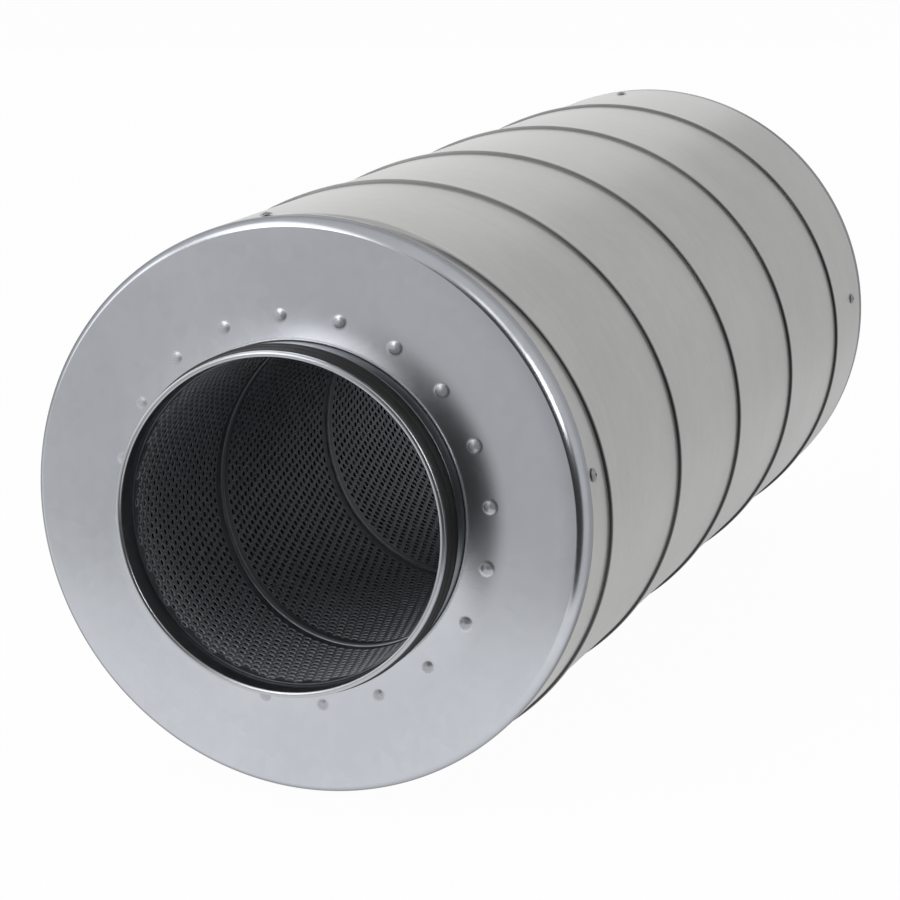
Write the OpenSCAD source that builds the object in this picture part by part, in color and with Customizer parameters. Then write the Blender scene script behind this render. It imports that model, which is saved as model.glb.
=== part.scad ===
// Round sound attenuator for an in-line air duct.
// The duct axis runs along Y, the front end faces -Y and the origin is at the middle of the air path.

/* [Duct connection] */
// Outside diameter of the spigot collars, made to slide into a 160 mm duct
spigot_d = 159.4; // [150:0.1:170]
// How far each collar stands out from its end cap
spigot_len = 30; // [26:1:50]
// Sheet thickness of the collars
collar_wall = 0.7; // [0.5:0.1:0.9]
// Thickness of the hem that is rolled at each mouth
hem_t = 2.8; // [2.4:0.1:3.2]
// Length of the hem's edge that holds the seal
hem_leg = 1.2; // [0.8:0.1:2]
// Width of the seal groove, from the mouth to the step up to the full diameter
groove_w = 16; // [12:0.5:18]
// How far the seal's lips stand out beyond the collar when they lie in a duct
lip_rise = 0.2; // [0.1:0.05:0.3]

/* [Casing] */
// Outside diameter of the casing
casing_d = 270; // [256:1:300]
// Length of the body from cap face to cap face
body_len = 600; // [450:10:900]
// Sheet thickness of the casing
casing_wall = 0.7; // [0.5:0.1:1]
// Distance between turns of the helical lock seam
seam_pitch = 120; // [100:1:140]
// Width of the lock seam
seam_w = 6.5; // [5:0.5:9]
// Height of the lock seam above the casing
seam_h = 1.5; // [1:0.1:2]
// Distance from the front face at which the seam crosses the top of the casing
seam_start = 10.7; // [0:0.1:100]

/* [End caps] */
// Sheet thickness of the caps
cap_wall = 0.9; // [0.7:0.1:1.2]
// Radius of the cap's outer edge
edge_r = 5; // [3:0.5:8]
// Depth of the cap's rim that stays in view, from the face to the end of the casing
cap_rim = 12; // [10:0.5:20]
// Length of the cap's skirt inside the casing
skirt_len = 30; // [26:1:45]
// Radius of the cap's drawn neck, which is also its height above the face
neck_r = 1.5; // [1:0.5:3]

/* [Clinched joint] */
// Number of buttons that hold each collar to its cap
clinch_n = 20; // [8:1:28]
// Distance from the collar's outside to the ring of buttons
clinch_off = 11.5; // [10:0.5:16]
// Turn of the ring of buttons from the top, clockwise seen from the front
clinch_turn = -6; // [-9:1:9]
// Diameter of a button at the cap's face
button_d = 7; // [6:0.5:8]
// Height of a button above the cap's face
button_h = 1.4; // [1:0.1:1.6]
// Width of the collar's flange outside the ring of buttons
flange_edge = 6; // [5:0.5:10]

/* [Air path] */
// Sheet thickness of the perforated liner
liner_wall = 0.6; // [0.5:0.1:0.8]
// How far the liner reaches into each collar beyond the cap's face
liner_reach = 18; // [10:0.5:26]
// Distance between turns of the liner's seam
liner_pitch = 140; // [110:1:160]
// Width of the liner's seam
liner_seam_w = 4; // [3:0.5:6]
// Height of the liner's seam inside the air path
liner_seam_h = 0.6; // [0.4:0.1:0.8]
// Distance from the front face at which the liner's seam crosses the top
liner_seam_start = 120; // [0:1:160]
// Diameter of the perforation's holes
hole_d = 3; // [2:0.5:4]
// Holes in each row round the liner, a thinned share of the real perforation
hole_n = 20; // [8:1:20]
// Rows of holes at each end of the liner
hole_rows = 3; // [1:1:3]
// Distance from the cap's face in to the first row of holes
hole_start = 14; // [8:1:30]
// Distance between rows of holes
hole_step = 21; // [8:1:40]

/* [Absorber] */
// Thickness of the fleece on the liner
fleece_t = 1.5; // [1.4:0.1:2.5]

/* [Rivets] */
// Number of rivets at each end
rivet_n = 4; // [3:1:8]
// Diameter of a rivet's shank
rivet_d = 3.2; // [2.4:0.1:4]
// Diameter of a rivet's head
rivet_head_d = 6.4; // [5:0.1:8]
// Height of a rivet's head
rivet_head_h = 1.1; // [0.8:0.1:1.6]
// Length of the swollen tail inside the skirt
rivet_tail = 4; // [3:0.5:5]
// Distance from the front face to its rivets
front_rivet_back = 18.5; // [18:0.5:30]
// Distance from the rear face to its rivets
rear_rivet_back = 33; // [18:0.5:34]
// Turn of the front rivets from the top, clockwise seen from the front
front_rivet_turn = -10; // [-45:1:45]
// Turn of the rear rivets from the top, clockwise seen from the front
rear_rivet_turn = -6; // [-45:1:45]

/* [Clearances] */
// Gap between sheets that are pressed together
sheet_gap = 0.15; // [0.1:0.05:0.3]
// Gap round the liner in the collars' mouths, and round the soft fillings
slip_gap = 0.25; // [0.15:0.05:0.4]

/* [Hidden] */
$fn = 96;
casing_columns = 72;
liner_columns = 60;

// Which end a piece belongs to
front = 1;
rear = -1;

// Stations along the axis, measured outwards from the middle of the body
face_z = body_len / 2;
mouth_z = face_z + spigot_len;
joint_z = face_z - cap_rim;
skirt_end_z = joint_z - skirt_len;
cap_back_z = face_z - cap_wall;
flange_front_z = cap_back_z - sheet_gap;
flange_back_z = flange_front_z - collar_wall;
filling_end_z = flange_back_z - slip_gap;

// Radii of the casing and the cap
casing_r = casing_d / 2;
casing_bore_r = casing_r - casing_wall;
skirt_r = casing_bore_r - sheet_gap;
skirt_bore_r = skirt_r - cap_wall;

// Radii of the collar, its neck in the cap and its seal groove
collar_r = spigot_d / 2;
collar_bore_r = collar_r - collar_wall;
neck_bore_r = collar_r + sheet_gap;
neck_bend_x = neck_bore_r + cap_wall + neck_r;
groove_r = collar_r - hem_t + collar_wall;
groove_bore_r = groove_r - collar_wall;
hem_r = hem_t / 2;
hem_z = mouth_z - hem_r;
groove_end_z = mouth_z - groove_w;
step_end_z = groove_end_z - (collar_r - groove_r);

// Ring of clinch buttons: one sphere outside the cap, and smaller ones for each sheet below it
clinch_r = collar_r + clinch_off;
button_r = (pow(button_d / 2, 2) + pow(button_h, 2)) / (2 * button_h);
button_z = face_z + button_h - button_r;
cap_pit_r = button_r - cap_wall;
flange_dome_r = cap_pit_r - sheet_gap;
flange_pit_r = flange_dome_r - collar_wall;
flange_r = clinch_r + flange_edge;

// Radii of the liner and of what is wrapped round it
liner_r = groove_bore_r - slip_gap;
liner_bore_r = liner_r - liner_wall;
fleece_bore_r = liner_r + slip_gap;
fleece_r = fleece_bore_r + fleece_t;
wool_bore_r = fleece_r + slip_gap;
wool_r = casing_bore_r - slip_gap;
wool_end_r = skirt_bore_r - sheet_gap - rivet_tail - slip_gap;
wool_step_z = skirt_end_z - slip_gap;

// Diameter of a rivet's swollen tail, in shanks, and facets of a perforation hole
tail_swell = 1.4;
hole_facets = 12;
// Each seal lip's root, tip and underside, as shares of the room it has
lip_root = 0.1;
lip_tip = [0.65, 0.85];
lip_under = 0.55;
// Share of the seam's width that its flat top takes, and the length over which it is pressed flat
seam_top_share = 0.7;
seam_fade = 6;
// Least distance between rows of points where a seam runs out at a cut end
row_step = 0.05;

// Turns a piece that is drawn along +Z so that +Z points out of its end of the duct
module at_end(side) {
    rotate([90 * side, 0, 0]) children();
}

// Places copies round the axis, at an angle from the top, clockwise seen from the front
module ring_of(count, side, turn = 0) {
    for (i = [0 : count - 1]) rotate([0, 0, side * (90 - turn - 360 * i / count)]) children();
}

// Quarter of a bent sheet, with its centre and the quadrant it fills
module bend(x, z, outer_r, inner_r, right, up) {
    translate([x, z]) intersection() {
        difference() {
            circle(outer_r);
            circle(inner_r);
        }
        translate([right ? 0 : -outer_r, up ? 0 : -outer_r]) square(outer_r);
    }
}

// Strip of a revolved section, from one corner to the other
module strip(x0, z0, x1, z1) {
    translate([x0, z0]) square([x1 - x0, z1 - z0]);
}

// Heights of the points in one column of a seamed tube, in order from one end to the other
function seam_middle(start, pitch, turn, angle) = start + pitch * (turn + angle / 360);
function row_y(y, row, last, y0, y1) = min(max(y, y0 + row_step * row), y1 - row_step * (last - row));
function fade_in(y, y0, y1) = max(0, min(1, (y - y0) / seam_fade, (y1 - y) / seam_fade));

// Tube wound from strip: a lock seam runs round it as a helix and is pressed flat at both ends.
// The seam rises from seam_side_r by rise, which is below zero for a seam inside the tube.
module spiral_tube(seam_side_r, plain_side_r, rise, y0, y1, pitch, start, width, columns) {
    first_turn = floor((y0 - start) / pitch);
    turns = floor((y1 - start) / pitch) - first_turn + 1;
    foot = width / 2;
    top = foot * seam_top_share;
    knots = [[-foot, 0], [-top, 1], [top, 1], [foot, 0]];
    per_turn = len(knots);
    last = turns * per_turn + 1;
    rows = last + 1;
    plain_r = plain_side_r > seam_side_r ? plain_side_r : plain_side_r / cos(180 / columns);
    seam_r = plain_side_r > seam_side_r ? seam_side_r / cos(180 / columns) : seam_side_r;
    outside = seam_side_r > plain_side_r;
    seam_points = [
        for (c = [0 : columns - 1], i = [0 : last])
            let (
                angle = 360 * c / columns,
                turn = first_turn + floor((i - 1) / per_turn),
                knot = knots[(i - 1 + per_turn) % per_turn],
                raw = i == 0 ? y0 : i == last ? y1 : seam_middle(start, pitch, turn, angle) + knot[0],
                y = row_y(raw, i, last, y0, y1),
                r = seam_r + (i == 0 || i == last ? 0 : rise * knot[1] * fade_in(y, y0, y1))
            )
            [r * sin(angle), y, r * cos(angle)]
    ];
    plain_points = [
        for (c = [0 : columns - 1], y = [y0, y1])
            [plain_r * sin(360 * c / columns), y, plain_r * cos(360 * c / columns)]
    ];
    // Column c, row i of the seamed side, and end e of the plain side
    function seamed(c, i) = c * rows + i;
    function plain(c, e) = columns * rows + c * 2 + e;
    // The helix climbs one turn's rows where the last column meets the first
    near_faces = [
        for (c = [0 : columns - 2], i = [0 : last - 1], f = [0, 1])
            f == 0 ? [seamed(c, i), seamed(c + 1, i), seamed(c + 1, i + 1)]
                   : [seamed(c, i), seamed(c + 1, i + 1), seamed(c, i + 1)]
    ];
    wrap = columns - 1;
    wrap_faces = [
        for (i = [0 : last - 1 - per_turn], f = [0, 1])
            f == 0 ? [seamed(wrap, i), seamed(0, i + per_turn), seamed(0, i + per_turn + 1)]
                   : [seamed(wrap, i), seamed(0, i + per_turn + 1), seamed(wrap, i + 1)]
    ];
    start_fan = [for (i = [0 : per_turn - 1]) [seamed(wrap, 0), seamed(0, i), seamed(0, i + 1)]];
    end_fan = [
        for (i = [last - per_turn : last - 1]) [seamed(wrap, i), seamed(0, last), seamed(wrap, i + 1)]
    ];
    plain_faces = [
        for (c = [0 : columns - 1])
            let (n = (c + 1) % columns)
            [plain(c, 0), plain(c, 1), plain(n, 1), plain(n, 0)]
    ];
    rim_faces = [
        for (c = [0 : columns - 1], e = [0, 1])
            let (n = (c + 1) % columns, i = e == 0 ? 0 : last)
            e == 0 ? [seamed(c, i), plain(c, e), plain(n, e), seamed(n, i)]
                   : [seamed(c, i), seamed(n, i), plain(n, e), plain(c, e)]
    ];
    faces = concat(near_faces, wrap_faces, start_fan, end_fan, plain_faces, rim_faces);
    turned = [for (f = faces) [for (i = [len(f) - 1 : -1 : 0]) f[i]]];
    polyhedron(concat(seam_points, plain_points), outside ? faces : turned, convexity = 8);
}

// Holes for the rivets of one end, through the casing and the cap's skirt
module rivet_holes(side, back, turn) {
    depth = casing_r - skirt_bore_r + 2 * edge_r;
    at_end(side) ring_of(rivet_n, side, turn) translate([skirt_bore_r - edge_r, 0, face_z - back])
        rotate([0, 90, 0]) cylinder(h = depth, d = rivet_d + 2 * sheet_gap);
}

// Flat seats for the rivets' heads, pressed into the lock seam where it runs under one
module rivet_seats(side, back, turn) {
    at_end(side) ring_of(rivet_n, side, turn) translate([casing_r, 0, face_z - back])
        rotate([0, 90, 0]) cylinder(h = 2 * seam_h, d = rivet_head_d + 2 * sheet_gap);
}

module casing() {
    color("silver") difference() {
        spiral_tube(
            casing_r, casing_bore_r, seam_h, -joint_z, joint_z,
            seam_pitch, seam_start - face_z, seam_w, casing_columns
        );
        rivet_holes(front, front_rivet_back, front_rivet_turn);
        rivet_holes(rear, rear_rivet_back, rear_rivet_turn);
        rivet_seats(front, front_rivet_back, front_rivet_turn);
        rivet_seats(rear, rear_rivet_back, rear_rivet_turn);
    }
}

// Section of a cap: neck, flat face, rounded edge, rim, joggle and skirt
module cap_section() {
    bend(neck_bend_x, face_z + neck_r, neck_r + cap_wall, neck_r, false, false);
    strip(neck_bend_x, cap_back_z, casing_r - edge_r, face_z);
    bend(casing_r - edge_r, face_z - edge_r, edge_r, edge_r - cap_wall, true, true);
    strip(casing_r - cap_wall, joint_z, casing_r, face_z - edge_r);
    strip(skirt_bore_r, joint_z, casing_r - cap_wall, joint_z + cap_wall);
    strip(skirt_bore_r, skirt_end_z, skirt_r, joint_z);
}

// Pressed end cap with its clinch buttons
module end_cap(side, rivet_back, rivet_turn) {
    color("lightsteelblue") difference() {
        at_end(side) difference() {
            union() {
                rotate_extrude() cap_section();
                ring_of(clinch_n, side, clinch_turn) translate([clinch_r, 0, cap_back_z]) intersection() {
                    translate([0, 0, button_z - cap_back_z]) sphere(button_r);
                    cylinder(h = cap_wall + button_h, d = 2 * button_d);
                }
            }
            ring_of(clinch_n, side, clinch_turn) translate([clinch_r, 0, button_z]) sphere(cap_pit_r);
        }
        rivet_holes(side, rivet_back, rivet_turn);
    }
}

module front_end_cap() {
    end_cap(front, front_rivet_back, front_rivet_turn);
}

module rear_end_cap() {
    end_cap(rear, rear_rivet_back, rear_rivet_turn);
}

// Section of a collar: flange behind the cap, bend, full tube, step down to the groove and hemmed mouth
module collar_section() {
    bend_r = neck_r + cap_wall + sheet_gap;
    strip(neck_bend_x, flange_back_z, flange_r, flange_front_z);
    bend(neck_bend_x, face_z + neck_r, bend_r + collar_wall, bend_r, false, false);
    strip(collar_bore_r, face_z + neck_r, collar_r, step_end_z);
    polygon([
        [collar_bore_r, step_end_z], [collar_r, step_end_z],
        [groove_r, groove_end_z], [groove_bore_r, groove_end_z]
    ]);
    strip(groove_bore_r, groove_end_z, groove_r, hem_z);
    bend(collar_r - hem_r, hem_z, hem_r, hem_r - collar_wall, true, true);
    bend(collar_r - hem_r, hem_z, hem_r, hem_r - collar_wall, false, true);
    strip(collar_bore_r, hem_z - hem_leg, collar_r, hem_z);
}

// Spigot collar, with the flange's side of the clinched joint
module collar(side) {
    color("gainsboro") at_end(side) difference() {
        union() {
            rotate_extrude() collar_section();
            ring_of(clinch_n, side, clinch_turn) translate([clinch_r, 0, flange_back_z]) intersection() {
                translate([0, 0, button_z - flange_back_z]) sphere(flange_dome_r);
                cylinder(h = flange_dome_r, d = 2 * button_d);
            }
        }
        ring_of(clinch_n, side, clinch_turn) translate([clinch_r, 0, button_z]) sphere(flange_pit_r);
    }
}

module front_collar() {
    collar(front);
}

module rear_collar() {
    collar(rear);
}

// Section of the lip seal: a band under the hem, and two lips that lean back from the mouth
module seal_section() {
    band_t = hem_t - 2 * collar_wall - 2 * sheet_gap;
    band_bore_r = groove_r + sheet_gap;
    band_r = band_bore_r + band_t;
    lip_r = collar_r + lip_rise;
    band_top_z = hem_z - sheet_gap;
    band_end_z = groove_end_z + sheet_gap;
    lips_top_z = hem_z - hem_leg - sheet_gap;
    lip_room = (lips_top_z - band_end_z) / 2;
    lip = [[band_r, lip_root], [lip_r, lip_tip[0]], [lip_r, lip_tip[1]], [band_r, lip_under]];
    polygon(concat(
        [[band_bore_r, band_end_z], [band_bore_r, band_top_z], [band_r, band_top_z]],
        [for (i = [0, 1], p = lip) [p[0], lips_top_z - lip_room * (i + p[1])]],
        [[band_r, band_end_z]]
    ));
}

module seal(side) {
    color("#1c1c1e") at_end(side) rotate_extrude() seal_section();
}

module front_seal() {
    seal(front);
}

module rear_seal() {
    seal(rear);
}

// Staggered rows of perforation holes at one end of the liner
module perforation(side) {
    at_end(side) for (row = [0 : hole_rows - 1])
        ring_of(hole_n, side, 180 / hole_n * (row % 2))
            translate([liner_bore_r - 2 * liner_seam_h, 0, face_z - hole_start - hole_step * row])
                rotate([0, 90, 0]) cylinder(h = 4 * liner_seam_h + liner_wall, d = hole_d, $fn = hole_facets);
}

module perforated_liner() {
    liner_end_z = face_z + liner_reach;
    color("dimgray") difference() {
        spiral_tube(
            liner_bore_r, liner_r, -liner_seam_h, -liner_end_z, liner_end_z,
            liner_pitch, liner_seam_start - face_z, liner_seam_w, liner_columns
        );
        perforation(front);
        perforation(rear);
    }
}

module fleece_wrap() {
    color("#2a2a2c") at_end(front) rotate_extrude()
        strip(fleece_bore_r, -filling_end_z, fleece_r, filling_end_z);
}

// Half of the wool's section: thinner at the end, where the cap's skirt and the rivets' tails are
module wool_half() {
    strip(wool_bore_r, 0, wool_r, wool_step_z);
    strip(wool_bore_r, wool_step_z, wool_end_r, filling_end_z);
}

module mineral_wool() {
    color("khaki") at_end(front) rotate_extrude() {
        wool_half();
        mirror([0, 1]) wool_half();
    }
}

// Blind rivet along +X: domed head on the casing, shank, and swollen tail inside the cap's skirt
module rivet() {
    head_r = (pow(rivet_head_d / 2, 2) + pow(rivet_head_h, 2)) / (2 * rivet_head_h);
    seat = casing_r + sheet_gap;
    tail = skirt_bore_r - sheet_gap;
    tail_d = rivet_d * tail_swell;
    mandrel_d = rivet_d / 2;
    rotate([0, 90, 0]) difference() {
        union() {
            translate([0, 0, seat]) intersection() {
                translate([0, 0, rivet_head_h - head_r]) sphere(head_r);
                cylinder(h = rivet_head_h, d = 2 * rivet_head_d);
            }
            translate([0, 0, tail]) cylinder(h = seat - tail, d = rivet_d);
            translate([0, 0, tail - rivet_tail]) cylinder(h = rivet_tail, d = tail_d);
        }
        translate([0, 0, seat]) cylinder(h = 2 * rivet_head_h, d = mandrel_d);
    }
}

module rivet_ring(side, back, turn) {
    color("darkgray") at_end(side) ring_of(rivet_n, side, turn) translate([0, 0, face_z - back]) rivet();
}

module front_rivets() {
    rivet_ring(front, front_rivet_back, front_rivet_turn);
}

module rear_rivets() {
    rivet_ring(rear, rear_rivet_back, rear_rivet_turn);
}

casing();
front_end_cap();
rear_end_cap();
front_collar();
rear_collar();
front_seal();
rear_seal();
perforated_liner();
fleece_wrap();
mineral_wool();
front_rivets();
rear_rivets();
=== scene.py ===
import math

import bpy
import numpy as np
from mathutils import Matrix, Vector


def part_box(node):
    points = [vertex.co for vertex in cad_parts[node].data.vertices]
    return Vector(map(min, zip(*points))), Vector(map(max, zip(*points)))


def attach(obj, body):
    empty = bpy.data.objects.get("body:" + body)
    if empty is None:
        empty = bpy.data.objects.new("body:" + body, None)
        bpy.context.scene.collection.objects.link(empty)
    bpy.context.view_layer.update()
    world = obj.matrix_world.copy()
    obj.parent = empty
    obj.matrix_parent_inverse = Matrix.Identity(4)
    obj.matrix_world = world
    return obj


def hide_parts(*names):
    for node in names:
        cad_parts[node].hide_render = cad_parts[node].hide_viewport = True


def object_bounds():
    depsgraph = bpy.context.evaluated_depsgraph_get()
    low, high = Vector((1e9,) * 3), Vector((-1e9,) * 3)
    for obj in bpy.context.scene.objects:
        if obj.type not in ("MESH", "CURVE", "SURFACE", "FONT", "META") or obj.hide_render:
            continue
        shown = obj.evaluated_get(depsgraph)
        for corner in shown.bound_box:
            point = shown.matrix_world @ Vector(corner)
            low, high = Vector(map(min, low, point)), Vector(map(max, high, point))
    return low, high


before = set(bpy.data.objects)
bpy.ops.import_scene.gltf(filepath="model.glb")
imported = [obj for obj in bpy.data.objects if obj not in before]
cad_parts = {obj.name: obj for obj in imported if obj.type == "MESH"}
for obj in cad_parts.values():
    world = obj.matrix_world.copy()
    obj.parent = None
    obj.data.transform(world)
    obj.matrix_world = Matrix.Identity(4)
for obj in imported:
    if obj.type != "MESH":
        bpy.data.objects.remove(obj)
cad_low, cad_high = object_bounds()

# Perforated liner: a tube wound from perforated galvanised strip, which carries the air stream. Its holes
# stand in staggered rows that climb with the strip, whose plain edges are locked in a flat helical seam
# on the inside. Both ends sit loosely in the collars.
mm = 0.001
liner_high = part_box("perforated_liner")[1]
liner_r, liner_end = liner_high.x, liner_high.y
liner_wall = 0.6 * mm
liner_bore = liner_r - liner_wall
liner_pitch = 140 * mm
liner_seam_start = -180 * mm
liner_seam_w = 4 * mm
liner_seam_h = 0.55 * mm
liner_seam_steps = 120
hole_r = 1.65 * mm
hole_roll = 0.12 * mm
plain_edge = 3.2 * mm
plain_rows = 1
strip_holes = 100
strip_rows = 31
row_shift = 8
liner_lots = 3
duct_body = "root"


def add_piece(name, points, faces, cad_node, material, crease=32):
    """Puts an array of points and a list of index arrays, one for each number of corners, into a mesh.
    The faces are turned round if the closed surface they make holds a volume below zero. Shading is
    smooth but for edges that bend more than crease, in degrees."""
    fans = [f[:, [0, k, k + 1]] for f in faces for k in range(1, f.shape[1] - 1)]
    a, b, c = (points[np.concatenate(fans)[:, k]] for k in range(3))
    if np.einsum("ij,ij->", a, np.cross(b, c)) < 0:
        faces = [f[:, ::-1] for f in faces]
    corners = np.concatenate([f.ravel() for f in faces]).astype(np.int32)
    sizes = np.concatenate([np.full(len(f), f.shape[1]) for f in faces])
    starts = (np.cumsum(sizes) - sizes).astype(np.int32)
    mesh = bpy.data.meshes.new(name)
    mesh.vertices.add(len(points))
    mesh.vertices.foreach_set("co", points.astype(np.float32).ravel())
    mesh.loops.add(len(corners))
    mesh.loops.foreach_set("vertex_index", corners)
    mesh.polygons.add(len(starts))
    mesh.polygons.foreach_set("loop_start", starts)
    mesh.update(calc_edges=True)
    mesh.shade_smooth()
    mesh.set_sharp_from_angle(angle=math.radians(crease))
    mesh.materials.append(material)
    piece = bpy.data.objects.new(name, mesh)
    bpy.context.scene.collection.objects.link(piece)
    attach(piece, duct_body)
    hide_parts(cad_node)
    return piece


def mark_points(piece, attribute, shares):
    """Keeps a share from none to one for each point of a piece, which its material reads by this name."""
    values = piece.data.attributes.new(attribute, "FLOAT", "POINT").data
    values.foreach_set("value", shares.astype(np.float32))


def round_axis(radius, along, turn):
    """Point of the duct at a radius, a place along the axis and a turn from the top, clockwise seen
    from the front: x = r sin t, y = along, z = r cos t."""
    radius, along, turn = np.broadcast_arrays(radius, along, turn)
    return np.stack([radius * np.sin(turn), along, radius * np.cos(turn)], -1).reshape(-1, 3)


def srgb(red, green, blue):
    """Colour as read from a picture, 0 to 255, as the linear values that a shader takes."""
    c = np.array([red, green, blue]) / 255
    c = np.where(c > 0.04045, ((c + 0.055) / 1.055) ** 2.4, c / 12.92)
    return (*c.tolist(), 1.0)


def zinc_steel(name, dull, bright, rough, rolled, streaky=0.35, grain=0.04, glancing=1.0, marked=None):
    """Galvanised sheet. The colour goes from dull to bright with broad clouds, zinc crystals a few
    millimetres wide and fine streaks along the rolling direction, which is the axis that rolled
    scales least, by the share streaky. Roughness follows the same tone, the fine grain is a bump, and
    glancing below one dulls the sheet where it is seen edge on. Marked names an attribute of the
    mesh, and gives the colour and the share of metal where that attribute is one."""
    mat = bpy.data.materials.new(name)
    mat.use_nodes = True
    tree = mat.node_tree
    make, link = tree.nodes.new, tree.links.new
    shader = tree.nodes["Principled BSDF"]
    shader.inputs["Metallic"].default_value = 1.0
    shader.inputs["Specular Tint"].default_value = (glancing, glancing, glancing, 1)
    place = make("ShaderNodeTexCoord").outputs["Object"]

    clouds = make("ShaderNodeTexNoise")
    clouds.inputs["Scale"].default_value = 14.0
    clouds.inputs["Detail"].default_value = 3.0
    link(place, clouds.inputs["Vector"])
    crystals = make("ShaderNodeTexVoronoi")
    crystals.inputs["Scale"].default_value = 170.0
    link(place, crystals.inputs["Vector"])
    stretch = make("ShaderNodeMapping")
    stretch.inputs["Scale"].default_value = rolled
    link(place, stretch.inputs["Vector"])
    streaks = make("ShaderNodeTexNoise")
    streaks.inputs["Scale"].default_value = 1.0
    streaks.inputs["Detail"].default_value = 4.0
    link(stretch.outputs["Vector"], streaks.inputs["Vector"])

    def blend(first, second, share):
        mix = make("ShaderNodeMix")
        mix.inputs["Factor"].default_value = share
        link(first, mix.inputs["A"])
        link(second, mix.inputs["B"])
        return mix.outputs["Result"]

    crystal_share = 0.12
    crystal_tone = make("ShaderNodeSeparateColor")
    link(crystals.outputs["Color"], crystal_tone.inputs["Color"])
    sheet = blend(clouds.outputs["Fac"], crystal_tone.outputs["Red"], crystal_share)
    sheet = blend(sheet, streaks.outputs["Fac"], streaky)
    tone = make("ShaderNodeValToRGB")
    tone.color_ramp.elements[0].position = 0.35
    tone.color_ramp.elements[0].color = dull
    tone.color_ramp.elements[1].position = 0.65
    tone.color_ramp.elements[1].color = bright
    link(sheet, tone.inputs["Fac"])
    colour = tone.outputs["Color"]

    rough_spread = 0.06
    polish = make("ShaderNodeMapRange")
    polish.inputs["To Min"].default_value = rough - rough_spread
    polish.inputs["To Max"].default_value = rough + rough_spread
    link(sheet, polish.inputs["Value"])
    link(polish.outputs["Result"], shader.inputs["Roughness"])

    if marked:
        attribute, mark_colour, mark_metal = marked
        mark = make("ShaderNodeAttribute")
        mark.attribute_name = attribute
        dyed = make("ShaderNodeMix")
        dyed.data_type = "RGBA"
        dyed.inputs["B"].default_value = mark_colour
        link(mark.outputs["Fac"], dyed.inputs["Factor"])
        link(colour, dyed.inputs["A"])
        colour = dyed.outputs["Result"]
        metal = make("ShaderNodeMapRange")
        metal.inputs["To Min"].default_value = 1.0
        metal.inputs["To Max"].default_value = mark_metal
        link(mark.outputs["Fac"], metal.inputs["Value"])
        link(metal.outputs["Result"], shader.inputs["Metallic"])
    link(colour, shader.inputs["Base Color"])

    speck = make("ShaderNodeTexNoise")
    speck.inputs["Scale"].default_value = 900.0
    speck.inputs["Detail"].default_value = 2.0
    link(place, speck.inputs["Vector"])
    bump = make("ShaderNodeBump")
    bump.inputs["Strength"].default_value = grain
    bump.inputs["Distance"].default_value = 0.2 * mm
    link(speck.outputs["Fac"], bump.inputs["Height"])
    link(bump.outputs["Normal"], shader.inputs["Normal"])
    return mat


# Painted shade: the liner's steel is darker than the cap's, for the dark bore.
liner_steel = zinc_steel(
    "liner_steel", srgb(115, 118, 123), srgb(147, 150, 155), rough=0.5, rolled=(6, 220, 6),
    marked=("painted_glint", srgb(204, 207, 212), 0.3),
)

# Corners of a hexagonal cell round its hole, in thirds of the steps along the strip and across it
hex_step = np.array([1, -1, -2, -1, 1, 2])
hex_row = np.array([1, 2, 1, -1, -2, -1])
corners_a_hole = len(hex_step)
span = 3 * strip_rows * strip_holes
hex_turn = strip_rows * hex_step + row_shift * hex_row
hex_along = hex_turn + strip_holes * hex_row
hole_reach = np.stack([2 * math.pi * liner_r * hex_turn, liner_pitch * hex_along]) / span
hole_round, hole_along = hole_r * hole_reach / np.hypot(*hole_reach)


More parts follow.
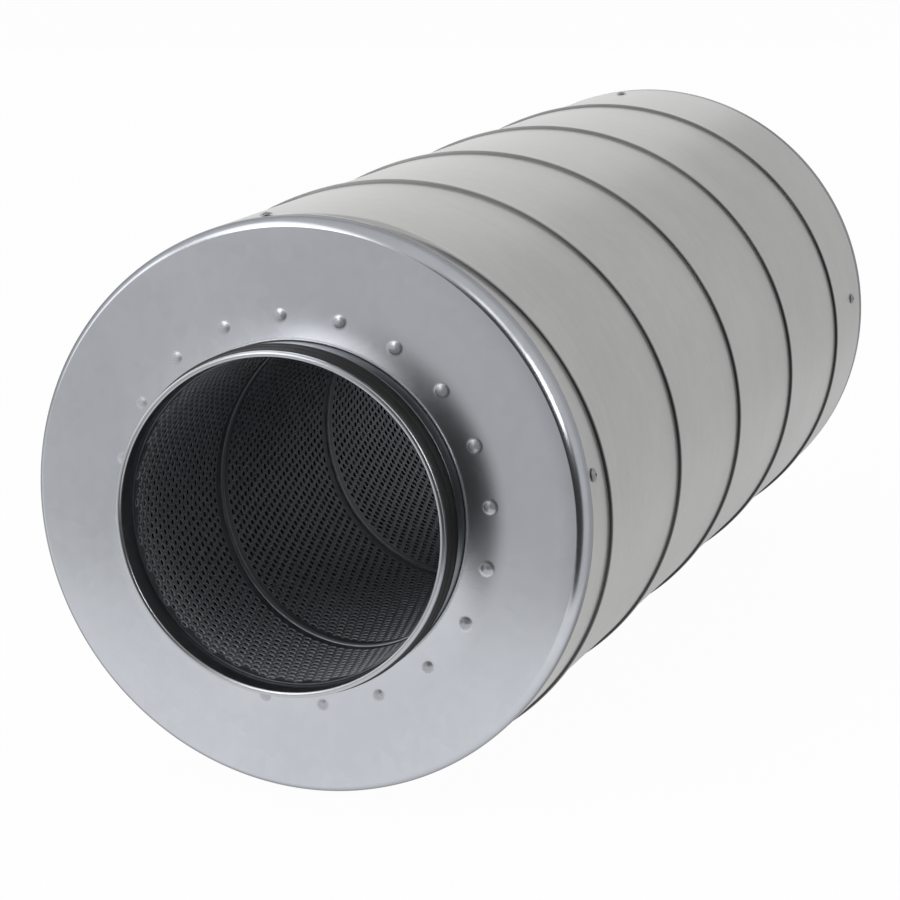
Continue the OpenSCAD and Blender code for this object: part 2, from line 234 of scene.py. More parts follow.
def perforated_lot(name, low, high):
    """Part of the liner between two places along the axis. Hexagonal cells lie in rows that climb with the
    strip: a cell's turn is its step times rows plus its row times the shift, over rows times holes,
    and its place is the seam's start plus pitch times that turn plus its row over rows. An open
    cell is a ring from its hexagon to a six-sided hole, once on the bore and once outside, with the
    hole's wall between. Cells next to the seam and at the ends are plain, and walls close the border."""
    first = math.floor(((-liner_end - liner_seam_start) / liner_pitch - 1) * strip_rows) - 1
    last = math.ceil((liner_end - liner_seam_start) / liner_pitch * strip_rows) + 2
    row = np.arange(first, last)[:, None]
    step = -(row_shift * row // strip_rows) + np.arange(strip_holes)
    row = row + 0 * step
    turn = 3 * (strip_rows * step + row_shift * row)
    middle = liner_seam_start + liner_pitch * (turn + 3 * strip_holes * row) / span
    corner_turn = turn[..., None] + hex_turn
    corner_along = corner_turn + strip_holes * (3 * row[..., None] + hex_row)
    inside = (np.abs(liner_seam_start + liner_pitch * corner_along / span) < liner_end).any(-1)
    keep = inside & (middle >= low) & (middle < high)
    known, cells = np.unique((corner_along * span + corner_turn % span)[keep], return_inverse=True)
    cells = cells.reshape(-1, corners_a_hole)
    row, middle, turn = row[keep], middle[keep], turn[keep]
    from_seam = np.abs((row + strip_rows // 2) % strip_rows - strip_rows // 2)
    is_open = (from_seam > plain_rows) & (np.abs(middle) < liner_end - plain_edge)

    edge_along = np.clip(liner_seam_start + liner_pitch * (known // span) / span, -liner_end, liner_end)
    edge_turn = 2 * math.pi * (known % span) / span
    rim_along = middle[is_open, None] + hole_along
    rim_turn = 2 * math.pi * turn[is_open, None] / span + hole_round / liner_r
    points = np.concatenate([
        round_axis(liner_bore, edge_along, edge_turn),
        round_axis(liner_bore + hole_roll, rim_along, rim_turn),
        round_axis(liner_r, edge_along, edge_turn),
        round_axis(liner_r, rim_along, rim_turn),
    ])
    grid, holes = len(known), rim_along.size
    outside = grid + holes
    after = np.roll(np.arange(corners_a_hole), -1)
    brim, plain = cells[is_open], cells[~is_open]
    hole = grid + np.arange(holes).reshape(-1, corners_a_hole)
    ring = np.stack([brim, brim[:, after], hole[:, after], hole], -1).reshape(-1, 4)
    wall = np.stack([hole, hole[:, after], hole[:, after] + outside, hole + outside], -1).reshape(-1, 4)
    # An edge that only one cell has is on the part's border
    edges = np.stack([cells, cells[:, after]], -1).reshape(-1, 2)
    pair = np.sort(edges, 1)
    _, where, times = np.unique(pair[:, 0] * grid + pair[:, 1], return_inverse=True, return_counts=True)
    border = edges[times[where] == 1]
    lip_wall = np.stack([border[:, 1], border[:, 0], border[:, 0] + outside, border[:, 1] + outside], -1)
    quads = np.concatenate([ring, wall, ring[:, ::-1] + outside, lip_wall])
    plates = np.concatenate([plain, plain[:, ::-1] + outside])
    piece = add_piece(name, points, [quads, plates], "perforated_liner", liner_steel)
    # Painted glint round each hole: its rim is lighter, duller steel
    mark_points(piece, "painted_glint", np.tile(np.repeat([0.0, 1.0], [grid, holes]), 2))


lot_edges = np.linspace(-1, 1, liner_lots + 1) * (liner_end + liner_pitch / strip_rows)
for lot in range(liner_lots):
    perforated_lot(f"perforated_liner_{lot + 1}", lot_edges[lot], lot_edges[lot + 1])


def helical_ribbon(radius, rise, width, start, pitch, end, steps_a_turn):
    """Flat rounded ribbon carried along a helix from one end of a tube to the other: its section is a
    half ellipse, fuller at its shoulders, of the given width and rise on a tube of this radius, with a
    foot a tenth of the rise deep. Along grows by pitch with each turn. Both ends are closed."""
    shape = np.linspace(0, math.pi, 9)
    foot = -0.1 * rise
    across = np.concatenate([-np.cos(shape) * width / 2, [width / 2, -width / 2]])
    lift = np.concatenate([np.sqrt(np.sin(shape)) * rise, [foot, foot]])
    first, last = (-end - start + width) / pitch, (end - start - width) / pitch
    turns = np.linspace(first, last, int((last - first) * steps_a_turn))[:, None]
    points = round_axis(radius + lift, start + pitch * turns + across, 2 * math.pi * turns)
    n, k = len(turns), len(across)
    i, j = np.meshgrid(np.arange(n - 1) * k, np.arange(k), indexing="ij")
    on = (j + 1) % k
    skin = np.stack([i + j, i + on, i + k + on, i + k + j], -1).reshape(-1, 4)
    caps = np.stack([np.arange(k)[::-1], (n - 1) * k + np.arange(k)])
    return points, [skin, caps]


seam_points, seam_faces = helical_ribbon(
    liner_bore, -liner_seam_h, liner_seam_w, liner_seam_start, liner_pitch, liner_end, liner_seam_steps
)
liner_seam = add_piece(
    "liner_seam", seam_points, seam_faces, "perforated_liner", liner_steel, crease=50
)
# Across the ribbon, the flank towards the front carries the brightest painted highlight, the rest a weaker
# one and the foot none
seam_glint = np.repeat([1.0, 0.45, 0.0], [3, 6, 2])
mark_points(liner_seam, "painted_glint", np.tile(seam_glint, len(seam_points) // len(seam_glint)))

# Fleece: a black glass-fibre web wound round the liner, which keeps fibres out of the air stream.
# It shows only as black behind the holes.
def fibre_mat(name, dark, light, fibre_scale, tuft):
    """Felted fibres: two crossed fine noises, one stretched along the axis and one round it, set the
    tone between dark and light and raise the surface by tuft."""
    mat = bpy.data.materials.new(name)
    mat.use_nodes = True
    tree = mat.node_tree
    make, link = tree.nodes.new, tree.links.new
    shader = tree.nodes["Principled BSDF"]
    shader.inputs["Roughness"].default_value = 0.95
    shader.inputs["Specular IOR Level"].default_value = 0.15
    place = make("ShaderNodeTexCoord").outputs["Object"]
    layers = []
    for scale in ((1.0, 0.12, 1.0), (0.12, 1.0, 0.35)):
        stretch = make("ShaderNodeMapping")
        stretch.inputs["Scale"].default_value = scale
        link(place, stretch.inputs["Vector"])
        fibres = make("ShaderNodeTexNoise")
        fibres.inputs["Scale"].default_value = fibre_scale
        fibres.inputs["Detail"].default_value = 5.0
        link(stretch.outputs["Vector"], fibres.inputs["Vector"])
        layers.append(fibres.outputs["Fac"])
    crossed = make("ShaderNodeMath")
    crossed.operation = "MULTIPLY"
    link(layers[0], crossed.inputs[0])
    link(layers[1], crossed.inputs[1])
    tone = make("ShaderNodeValToRGB")
    tone.color_ramp.elements[0].position = 0.12
    tone.color_ramp.elements[0].color = dark
    tone.color_ramp.elements[1].position = 0.4
    tone.color_ramp.elements[1].color = light
    link(crossed.outputs["Value"], tone.inputs["Fac"])
    link(tone.outputs["Color"], shader.inputs["Base Color"])
    bump = make("ShaderNodeBump")
    bump.inputs["Strength"].default_value = 0.6
    bump.inputs["Distance"].default_value = tuft
    link(crossed.outputs["Value"], bump.inputs["Height"])
    link(bump.outputs["Normal"], shader.inputs["Normal"])
    return mat


def dress(cad_node, material):
    """Gives a CAD node that keeps its own shape a finished material."""
    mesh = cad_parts[cad_node].data
    mesh.materials.clear()
    mesh.materials.append(material)


fleece_tuft = 0.3 * mm
fleece_fibres = 700.0
black_fleece = fibre_mat("black_fleece", srgb(14, 14, 15), srgb(44, 44, 46), fleece_fibres, fleece_tuft)
dress("fleece_wrap", black_fleece)

# Mineral wool: a soft slab of yellow-brown fibres wrapped round the fleece, which takes up the sound.
# The closed casing and caps hide it.
wool_tuft = 2 * mm
wool_fibres = 260.0
mineral_wool = fibre_mat("mineral_wool", srgb(128, 116, 70), srgb(196, 182, 120), wool_fibres, wool_tuft)
dress("mineral_wool", mineral_wool)

# Spigot collars: short drawn tubes of galvanised sheet. The inner end is turned out into a flange behind
# the cap, the mouth is stepped in to hold the seal and its edge is rolled outwards into a hem.
collar_low, collar_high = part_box("front_collar")
mouth = -collar_low.y
flange_back = -collar_high.y
flange_r = collar_high.x
collar_wall = 0.7 * mm
collar_r = 79.7 * mm
neck_r = 1.5 * mm
cap_wall = 0.9 * mm
sheet_gap = 0.15 * mm
cap_face = flange_back + collar_wall + sheet_gap + cap_wall
bend_r = collar_r + sheet_gap + cap_wall + neck_r
bend_out = cap_face + neck_r
hem_r = 1.4 * mm
hem_leg = 1.2 * mm
hem_end = mouth - hem_r - hem_leg
hem_mid = (collar_r - hem_r, mouth - hem_r)
groove_w = 16 * mm
groove_r = collar_r - 2 * hem_r + collar_wall
groove_end = mouth - groove_w
step_end = groove_end - (collar_r - groove_r)
outside_painted_light = 0.3
collar_turns = 240
ends = (("front", -1), ("rear", 1))

# Painted shade: the collar's steel is far darker than the cap's; the marked colour paints its hem and
# outside lighter.
collar_steel = zinc_steel(
    "collar_steel", srgb(116, 118, 124), srgb(138, 140, 146), rough=0.3, rolled=(8, 320, 8), streaky=0.1,
    grain=0.0, marked=("hem", srgb(186, 188, 192), 1.0),
)


def arc(centre_r, centre_out, radius, from_deg, to_deg, count):
    """Points of an arc in a section through the axis, each with its radius and its distance out from
    the middle of the duct; angles run from straight outwards in radius towards the mouth."""
    a = np.radians(np.linspace(from_deg, to_deg, count))
    return np.stack([centre_r + radius * np.cos(a), centre_out + radius * np.sin(a)], -1)


def straight(start, stop, count):
    """Evenly spaced points of a straight stretch of a section."""
    return np.linspace(start, stop, count)


def turned(section, turns, way):
    """Closed section carried round the axis, on the end of the duct that way gives: -1 front, 1 rear."""
    turn = np.asarray(turns)[:, None]
    points = round_axis(section[:, 0], way * section[:, 1], turn)
    n, k = len(turn), len(section)
    i, j = np.meshgrid(np.arange(n), np.arange(k), indexing="ij")
    up, on = (i + 1) % n, (j + 1) % k
    return points, [np.stack([i * k + j, up * k + j, up * k + on, i * k + on], -1).reshape(-1, 4)]


collar_outside = np.concatenate([
    straight((flange_r, flange_back + collar_wall), (bend_r, flange_back + collar_wall), 3),
    arc(bend_r, bend_out, bend_r - collar_r, 270, 180, 9)[1:],
    straight((collar_r, bend_out), (collar_r, step_end), 5)[1:],
])
collar_section = np.concatenate([
    collar_outside,
    straight((groove_r, groove_end), (groove_r, mouth - hem_r), 4),
    arc(*hem_mid, hem_r - collar_wall, 180, 0, 9)[1:],
    [[collar_r - collar_wall, hem_end], [collar_r, hem_end]],
    arc(*hem_mid, hem_r, 0, 180, 17),
    [[groove_r - collar_wall, groove_end], [collar_r - collar_wall, step_end]],
    [[collar_r - collar_wall, bend_out]],
    arc(bend_r, bend_out, bend_r - collar_r + collar_wall, 180, 270, 9)[1:],
    [[flange_r, flange_back]],
])
# Painted highlight: the hem is painted bright, and painted light makes the outside lighter than the bore
collar_painted_light = np.where(np.arange(len(collar_section)) < len(collar_outside), outside_painted_light, 0.0)
collar_painted_light[collar_section[:, 1] > hem_end - hem_r] = 1
even_turns = np.arange(collar_turns) * 2 * math.pi / collar_turns
for end, way in ends:
    points, faces = turned(collar_section, even_turns, way)
    collar = add_piece(
        f"{end}_spigot_collar", points, faces, f"{end}_collar", collar_steel, crease=40
    )
    mark_points(collar, "hem", np.tile(collar_painted_light, collar_turns))

# Lip seals: rings of black rubber clipped under the hem of each collar, with two thin lips that lean
# back from the mouth and press against the duct.
seal_gap = 0.15 * mm
seal_bore = groove_r + seal_gap
seal_band = 1.1 * mm
seal_top = mouth - hem_r - seal_gap
seal_end = groove_end + seal_gap
lips_top = hem_end - seal_gap
lip_room = (lips_top - seal_end) / 2
lip_tip_r = 80.5 * mm
lip_bow = 1.6
upper_root, upper_tip = 0.08, 0.70
under_root, under_tip = 0.34, 0.84


def lip(top):
    """Outline of one lip from its root at top: out along a slack curve to a rounded tip, and back in
    on its underside. Each side leans back by a share of the lip's room that grows with the share of
    its reach to the power lip_bow."""
    root = seal_bore + seal_band
    share = np.linspace(0, 1, 6)
    reach = root + (lip_tip_r - root) * share
    upper = upper_root + (upper_tip - upper_root) * share**lip_bow
    under = under_root + (under_tip - under_root) * share**lip_bow
    tip_middle, tip_r = top - lip_room * (upper_tip + under_tip) / 2, lip_room * (under_tip - upper_tip) / 2
    return np.concatenate([
        np.stack([reach, top - lip_room * upper], -1),
        arc(lip_tip_r, tip_middle, tip_r, 90, -90, 5)[1:-1],
        np.stack([reach, top - lip_room * under], -1)[::-1],
    ])


seal_section = np.concatenate([
    [[seal_bore, seal_end], [seal_bore, seal_top], [seal_bore + seal_band, seal_top]],
    lip(lips_top),
    lip(lips_top - lip_room),
    [[seal_bore + seal_band, seal_end]],
])
seal_rubber = bpy.data.materials.new("seal_rubber")
seal_rubber.use_nodes = True
tree = seal_rubber.node_tree
shader = tree.nodes["Principled BSDF"]
shader.inputs["Specular IOR Level"].default_value = 0.5
place = tree.nodes.new("ShaderNodeTexCoord").outputs["Object"]
dust = tree.nodes.new("ShaderNodeTexNoise")
dust.inputs["Scale"].default_value = 160.0
dust.inputs["Detail"].default_value = 6.0
tree.links.new(place, dust.inputs["Vector"])
rubber_tone = tree.nodes.new("ShaderNodeValToRGB")
rubber_tone.color_ramp.elements[0].position = 0.4
rubber_tone.color_ramp.elements[0].color = srgb(9, 9, 10)
rubber_tone.color_ramp.elements[1].position = 0.75
rubber_tone.color_ramp.elements[1].color = srgb(22, 22, 24)
tree.links.new(dust.outputs["Fac"], rubber_tone.inputs["Fac"])
tree.links.new(rubber_tone.outputs["Color"], shader.inputs["Base Color"])
sheen_range = tree.nodes.new("ShaderNodeMapRange")
sheen_range.inputs["To Min"].default_value = 0.4
sheen_range.inputs["To Max"].default_value = 0.6
tree.links.new(dust.outputs["Fac"], sheen_range.inputs["Value"])
tree.links.new(sheen_range.outputs["Result"], shader.inputs["Roughness"])
for end, way in ends:
    points, faces = turned(seal_section, even_turns, way)
    add_piece(f"{end}_lip_seal", points, faces, f"{end}_seal", seal_rubber, crease=45)

# End caps: pressed discs of galvanised sheet with a rounded edge, a joggled skirt that slips into the
# casing, and a neck drawn up round the collar. Twenty clinch buttons, pressed through cap and flange
# together, hold the collar.
casing_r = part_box("front_end_cap")[1].x
edge_r = 5 * mm
edge_in = 4.2 * mm
crease_r = 1.2 * mm
crease_deg = 52
crease_turn = math.radians(crease_deg)
roll_r = (edge_in - crease_r * math.cos(crease_turn)) / (1 - math.cos(crease_turn))
roll_mid = cap_face - crease_r + (crease_r - roll_r) * math.sin(crease_turn)
cap_rim = 12 * mm
skirt_len = 30 * mm
skirt_joggle = 0.85 * mm
joint_round = 0.3 * mm
joint = cap_face - cap_rim
skirt_end = joint - skirt_len
skirt_r = casing_r - skirt_joggle
neck_lip = collar_r + sheet_gap + cap_wall
neck_rise = 2.4 * mm
neck_sweep = 19 * mm
sweep_end = neck_lip + neck_sweep
lip_points = 7
lip_highlight = 0.6
button_n = 20
button_off = 11.5 * mm
button_ring = collar_r + button_off
button_r = 3.5 * mm
button_h = 0.65 * mm
button_foot = 1.8
button_highlight = 0.85
button_start = -6
button_room = 4.2 * mm
button_room_deg = 2.7
face_slack = 0.001 * mm
# The marked colour paints a highlight on the buttons and the neck's lip: lighter, duller steel.
cap_steel = zinc_steel(
    "galvanised_cap", srgb(192, 195, 201), srgb(201, 204, 210), rough=0.23, rolled=(160, 6, 8), streaky=0.12,
    glancing=0.4, marked=("painted_highlight", srgb(196, 198, 203), 0.3),
)

# From the neck's lip the sheet runs out into the flat face along a parabola, with close rings at the
# buttons. Its edge is a small crease and then a wide roll.
face_r = np.concatenate([
    np.linspace(neck_lip, button_ring - button_room, 9),
    np.linspace(button_ring - button_room, button_ring + button_room, 19)[1:],
    np.linspace(button_ring + button_room, sweep_end, 5)[1:],
    np.linspace(sweep_end, casing_r - edge_in, 5)[1:],
])
face_lift = neck_rise * np.clip(1 - (face_r - neck_lip) / neck_sweep, 0, 1) ** 2
skirt_bore = skirt_r - cap_wall
cap_section = np.concatenate([
    arc(neck_lip - cap_wall / 2, cap_face + neck_rise, cap_wall / 2, 180, 0, lip_points),
    np.stack([face_r, cap_face + face_lift], -1)[1:],
    arc(casing_r - edge_in, cap_face - crease_r, crease_r, 90, crease_deg, 6)[1:],
    arc(casing_r - roll_r, roll_mid, roll_r, crease_deg, 0, 10)[1:],
    straight((casing_r, roll_mid), (casing_r, joint + joint_round), 3)[1:],
    [[casing_r - joint_round, joint], [skirt_r, joint], [skirt_r, skirt_end]],
    [[skirt_bore, skirt_end], [skirt_bore, joint + cap_wall], [casing_r - cap_wall, joint + cap_wall]],
    arc(casing_r - edge_r, cap_face - edge_r, edge_r - cap_wall, 0, 90, 7),
    [[bend_r, cap_face - cap_wall]],
    arc(bend_r, bend_out, neck_r + cap_wall, 270, 180, 7)[1:],
])
# Columns stand close across each button and wide between buttons
button_spacing = 360 / button_n
near = np.linspace(-1, 1, 13) * button_room_deg
between = np.linspace(button_room_deg, button_spacing - button_room_deg, 10)[1:-1]
button_turns = button_start + np.arange(button_n)[:, None] * button_spacing
cap_turns = np.radians((button_turns + np.concatenate([near, between])).ravel())


def pressed_cap(way):
    """Cap's section carried round the axis, with a dome raised at each button: its height falls from the
    middle as one minus the square of the distance, to the power button_foot, which rounds its foot. A
    share of painted highlight, as lighter and duller steel, for each point goes with it, on the buttons and
    the neck's lip."""
    points, faces = turned(cap_section, cap_turns, way)
    spot = np.radians(button_spacing)
    turn = np.arctan2(points[:, 0], points[:, 2]) - np.radians(button_start)
    radius = np.hypot(points[:, 0], points[:, 2])
    off = (turn + spot / 2) % spot - spot / 2
    away = np.hypot(radius * np.cos(off) - button_ring, radius * np.sin(off)) / button_r
    dome = np.clip(1 - away**2, 0, None) ** button_foot
    on_face = np.abs(points[:, 1]) > cap_face - face_slack
    points[:, 1] += way * button_h * dome * on_face
    # Painted highlight on the buttons, and on the neck's lip below
    button_highlight_share = np.clip(2 * dome, 0, button_highlight) * on_face
    lip_highlight_share = np.where(np.arange(len(cap_section)) < lip_points, lip_highlight, 0)
    return points, faces, np.maximum(button_highlight_share, np.tile(lip_highlight_share, len(cap_turns)))


for end, way in ends:
    points, faces, painted_highlight = pressed_cap(way)
    cap = add_piece(
        f"{end}_pressed_cap", points, faces, f"{end}_end_cap", cap_steel, crease=40
    )
    mark_points(cap, "painted_highlight", painted_highlight)

# Casing: a tube wound from galvanised strip, whose edges are folded over each other in a helical lock
# seam that stands up outside. It is cut straight at both ends, slipped over the skirts and riveted.
casing_wall = 0.7 * mm
seam_pitch = 120 * mm
seam_start = -289.3 * mm
seam_half = 3.25 * mm
seam_h = 1.5 * mm
seam_fade = 6 * mm
row_step = 0.02 * mm
beyond_ends = 1e3
casing_columns = 300
rivet_n = 4
rivet_places = ((-281.5 * mm, -10), (267 * mm, -6))
dent_r = 9 * mm
dent_h = 0.5 * mm
shade_and_soil_at_ends = 0.35
# Painted light: the seam's darkening is lighter on top of the casing, where the light falls.
lit_top_share = 0.4
lit_top_from, lit_top_fully = 0.7, 0.95
# The marked colour darkens the seam's creases: painted shade, with some real grime.
casing_steel = zinc_steel(
    "galvanised_casing", srgb(187, 187, 186), srgb(198, 198, 197), rough=0.38, rolled=(5, 260, 5),
    streaky=0.25, marked=("grime_and_shade", srgb(52, 52, 53), 0.0),
)

# Section of the lock seam, across it: a narrow crease, a flat top and a second crease. The crease
# towards the front is darkened the most: painted shade, with some real grime.
seam_knots = [-1.35, -1.15, -1.0, -0.92, -0.8, -0.5, 0, 0.5, 0.8, 0.92, 1.0, 1.15, 1.35]
seam_across = np.array(seam_knots) * seam_half
seam_rise = np.array([0, -0.06, 0.05, 0.6, 0.95, 1, 1, 1, 0.95, 0.6, 0.05, -0.06, 0]) * seam_h
seam_shade_and_soil = np.array([0, 0.3, 1, 1, 0.5, 0, 0, 0, 0, 0.1, 0.25, 0.1, 0])
plain_across = np.linspace(seam_across[-1], seam_pitch + seam_across[0], 22)[1:-1]
knots = np.concatenate([seam_across, plain_across])
knot_rise = np.concatenate([seam_rise, 0 * plain_across])
knot_shade_and_soil = np.concatenate([seam_shade_and_soil, 0 * plain_across])


def wound_casing():
    """Tube whose rows of points follow the seam's helix. A row's place is seam_start plus pitch times its
    turn, plus its own offset across the seam, and rows beyond a cut end are gathered along it. The
    radius is the casing's, plus the seam's rise, less a shallow dent round each rivet. A share of
    darkening for each point goes with it, painted shade with some real grime, less on top, where
    painted light stands for the light falling there."""
    per_turn = len(knots)
    first = math.floor((-joint - seam_start) / seam_pitch) - 1
    turns = math.floor((joint - seam_start) / seam_pitch) - first + 1
    last = turns * per_turn + 1
    row = np.arange(last + 1)
    wound = (first + np.arange(turns)[:, None] + 0 * knots).ravel() * seam_pitch + np.tile(knots, turns)
    offset = np.concatenate([[-beyond_ends], wound, [beyond_ends]])
    turn = np.arange(casing_columns)[:, None] * 2 * math.pi / casing_columns
    along = seam_start + offset + seam_pitch * turn / (2 * math.pi)
    along = np.clip(along, -joint + row_step * row, joint - row_step * (last - row))
    fade = np.clip(np.minimum(along + joint, joint - along) / seam_fade, 0, 1)
    lift = np.concatenate([[0], np.tile(knot_rise, turns), [0]]) * fade
    lit_top = np.clip((np.cos(turn) - lit_top_from) / (lit_top_fully - lit_top_from), 0, 1)
    shade_and_soil = np.concatenate([[0], np.tile(knot_shade_and_soil, turns), [0]])
    shade_and_soil = shade_and_soil * (shade_and_soil_at_ends + (1 - shade_and_soil_at_ends) * fade) * (1 - lit_top_share * lit_top)
    spacing = 2 * math.pi / rivet_n
    for place, start_deg in rivet_places:
        lean = (turn - math.radians(start_deg) + spacing / 2) % spacing - spacing / 2
        away = np.hypot(lean * casing_r, along - place)
        lift = lift - dent_h * np.exp(-((away / dent_r) ** 2))
    outer = round_axis(casing_r + lift, along, turn)
    inner = round_axis(casing_r - casing_wall - dent_h, np.array([-joint, joint]), turn)
    points = np.concatenate([outer, inner])
    n, k = casing_columns, last + 1

    c, i = np.meshgrid(np.arange(n - 1), np.arange(last), indexing="ij")
    skin = np.stack([c * k + i, (c + 1) * k + i, (c + 1) * k + i + 1, c * k + i + 1], -1).reshape(-1, 4)
    # The rows climb by one turn where the last column meets the first
    end_col = (n - 1) * k
    i = np.arange(last - per_turn)
    lap = np.stack([end_col + i, i + per_turn, i + per_turn + 1, end_col + i + 1], -1)
    i = np.arange(per_turn)
    low_fan = np.stack([end_col + 0 * i, i, i + 1], -1)
    i = np.arange(last - per_turn, last)
    high_fan = np.stack([end_col + i, last + 0 * i, end_col + i + 1], -1)
    c = np.arange(n)
    after = (c + 1) % n
    bore = n * k + 2 * c
    bore_after = n * k + 2 * after
    inside = np.stack([bore, bore + 1, bore_after + 1, bore_after], -1)
    low_rim = np.stack([c * k, bore, bore_after, after * k], -1)
    high_rim = np.stack([c * k + last, after * k + last, bore_after + 1, bore + 1], -1)
    quads = np.concatenate([skin, lap, inside, low_rim, high_rim])
    grime_and_shade = np.concatenate([np.broadcast_to(shade_and_soil, along.shape).ravel(), np.zeros(2 * n)])
    return points, [quads, np.concatenate([low_fan, high_fan])], grime_and_shade


points, faces, grime_and_shade = wound_casing()
casing = add_piece("wound_casing", points, faces, "casing", casing_steel, crease=60)
mark_points(casing, "grime_and_shade", grime_and_shade)

# Blind rivets: small steel fixings, four at each end, each with a domed head on the casing. They go
# through the casing and the cap's skirt and are swollen behind it, which holds the two together.
rivet_steel = zinc_steel(
    "rivet_steel", srgb(146, 147, 149), srgb(168, 169, 171), rough=0.4, rolled=(300, 300, 300)
)
dress("front_rivets", rivet_steel)
dress("rear_rivets", rivet_steel)

# Floor and light: a plain pale sheet under the casing, in a pale room that is dark in front on the right,
# which the steel shows as dark edges. Five lamps are large and soft, and two small ones on the right
# light the cap's rounded edge.
floor_gap = 0.5 * mm
floor_z = cad_low.z - floor_gap
floor_left, floor_right = -8, 0.3
floor_front, floor_back = -0.6, 8
floor_corners = [
    (floor_left, floor_front, floor_z), (floor_right, floor_front, floor_z),
    (floor_right, floor_back, floor_z), (floor_left, floor_back, floor_z),
]
floor_mesh = bpy.data.meshes.new("floor")
floor_mesh.from_pydata(floor_corners, [], [(0, 1, 2, 3)])
floor = bpy.data.objects.new("floor", floor_mesh)
bpy.context.scene.collection.objects.link(floor)

floor_paint = bpy.data.materials.new("floor_paint")
floor_paint.use_nodes = True
tree = floor_paint.node_tree
shader = tree.nodes["Principled BSDF"]
shader.inputs["Base Color"].default_value = (0.8, 0.8, 0.8, 1)
shader.inputs["Roughness"].default_value = 0.9
shader.inputs["Specular IOR Level"].default_value = 0.0
glow = tree.nodes.new("ShaderNodeEmission")
glow.inputs["Strength"].default_value = 1.0
# The camera sees the sheet almost white. Shiny pieces see it so in front of the cap only, and with the
# object's own shade on it further back.
seen_share = 0.97
white_until, shade_from = -0.32, -0.1
shaded_share = 0.55
to_front = tree.nodes.new("ShaderNodeSeparateXYZ")
tree.links.new(tree.nodes.new("ShaderNodeTexCoord").outputs["Object"], to_front.inputs["Vector"])
shiny_share = tree.nodes.new("ShaderNodeMapRange")
shiny_share.inputs["From Min"].default_value = white_until
shiny_share.inputs["From Max"].default_value = shade_from
shiny_share.inputs["To Min"].default_value = 1.0
shiny_share.inputs["To Max"].default_value = shaded_share
tree.links.new(to_front.outputs["Y"], shiny_share.inputs["Value"])
path = tree.nodes.new("ShaderNodeLightPath")


def node_math(operation, first, second):
    """Math node in the node tree at hand, on two outputs or on an output and a number."""
    node = tree.nodes.new("ShaderNodeMath")
    node.operation = operation
    tree.links.new(first, node.inputs[0])
    if isinstance(second, float):
        node.inputs[1].default_value = second
    else:
        tree.links.new(second, node.inputs[1])
    return node.outputs["Value"]


shiny_ray = node_math("MAXIMUM", path.outputs["Is Glossy Ray"], path.outputs["Is Transmission Ray"])
shiny_glow = node_math("MULTIPLY", shiny_ray, shiny_share.outputs["Result"])
seen_glow = node_math("MULTIPLY", path.outputs["Is Camera Ray"], seen_share)
glow_share = node_math("MAXIMUM", seen_glow, shiny_glow)
paint_mix = tree.nodes.new("ShaderNodeMixShader")
tree.links.new(glow_share, paint_mix.inputs["Fac"])
tree.links.new(shader.outputs["BSDF"], paint_mix.inputs[1])
tree.links.new(glow.outputs["Emission"], paint_mix.inputs[2])
tree.links.new(paint_mix.outputs["Shader"], tree.nodes["Material Output"].inputs["Surface"])
floor_mesh.materials.append(floor_paint)

# The room's light falls off towards its dark side, and the camera sees it as white as the floor
room_light = 0.67
room_seen = 0.986
dark_side = Vector((0.66, -0.74, 0.04)).normalized()
dark_share = 0.05
dark_edge_deg = 59
dark_core_deg = 48
world = bpy.data.worlds.new("pale_room")
bpy.context.scene.world = world
world.use_nodes = True
tree = world.node_tree
room = tree.nodes["Background"]
room.inputs["Color"].default_value = (1, 1, 1, 1)
toward = tree.nodes.new("ShaderNodeVectorMath")
toward.operation = "DOT_PRODUCT"
toward.inputs[1].default_value = dark_side
tree.links.new(tree.nodes.new("ShaderNodeTexCoord").outputs["Generated"], toward.inputs[0])
level = tree.nodes.new("ShaderNodeMapRange")
level.interpolation_type = "SMOOTHSTEP"
level.inputs["From Min"].default_value = math.cos(math.radians(dark_edge_deg))
level.inputs["From Max"].default_value = math.cos(math.radians(dark_core_deg))
level.inputs["To Min"].default_value = room_light
level.inputs["To Max"].default_value = dark_share
tree.links.new(toward.outputs["Value"], level.inputs["Value"])
path = tree.nodes.new("ShaderNodeLightPath")
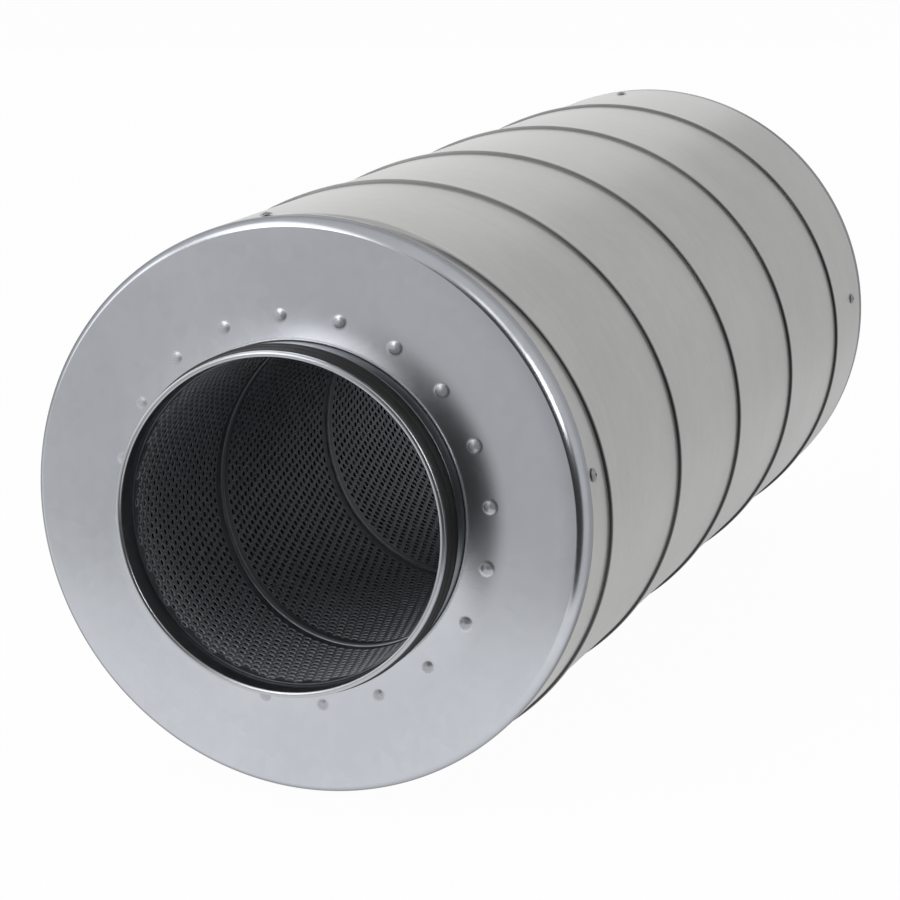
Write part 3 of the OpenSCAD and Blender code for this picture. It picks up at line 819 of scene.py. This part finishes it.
seen_white = node_math("MULTIPLY", path.outputs["Is Camera Ray"], room_seen)
strength = node_math("MAXIMUM", seen_white, level.outputs["Result"])
tree.links.new(strength, room.inputs["Strength"])


def soft_lamp(name, place, aim, width, height, power):
    """Rectangular soft lamp at a place, turned to face its aim."""
    data = bpy.data.lights.new(name, "AREA")
    data.shape = "RECTANGLE"
    data.size, data.size_y, data.energy = width, height, power
    lamp = bpy.data.objects.new(name, data)
    lamp.location = place
    lamp.rotation_euler = (Vector(aim) - Vector(place)).to_track_quat("-Z", "Y").to_euler()
    lamp.visible_camera = False
    bpy.context.scene.collection.objects.link(lamp)


soft_lamp("overhead_lamp", (-0.7, -0.75, 1.4), (0, -0.2, 0), 1.4, 0.8, 4.5)
soft_lamp("back_panel", (-1.4, 3.2, 0.7), (0, 0, 0), 2.6, 1.4, 7)
soft_lamp("left_panel", (-1.8, -0.6, 0.7), (0, -0.3, 0.05), 1.0, 1.2, 4.5)
soft_lamp("front_lamp", (-0.75, -1.75, 1.05), (0, -0.3, 0), 0.9, 0.7, 6.5)
soft_lamp("low_panel", (-0.4, -2.15, 0.56), (0, -0.3, 0), 0.8, 0.4, 0.7)
soft_lamp("edge_lamp", (1.22, -0.52, 0.6), (0.1, -0.3, 0.05), 0.35, 0.5, 2.5)
soft_lamp("shoulder_lamp", (0.84, -0.54, 0.98), (0.1, -0.3, 0.05), 0.3, 0.5, 0.6)

# Camera: the photograph's viewing angle, from the front right and a little above, with a long lens. Its
# place and lens come from a fit of the cap's and the casing's outlines to the photograph.
camera_place = Vector((0.5073, -1.5464, 0.3301))
camera_azimuth = math.radians(19.27)
camera_elevation = math.radians(12.63)
camera_data = bpy.data.cameras.new("camera")
camera_data.lens = 121.3
camera_data.sensor_width = 36
camera_data.clip_start = 0.01
camera = bpy.data.objects.new("camera", camera_data)
camera.location = camera_place
camera.rotation_euler = (math.pi / 2 - camera_elevation, 0, camera_azimuth)
bpy.context.scene.collection.objects.link(camera)
bpy.context.scene.camera = camera
bpy.context.scene.view_settings.view_transform = "Standard"
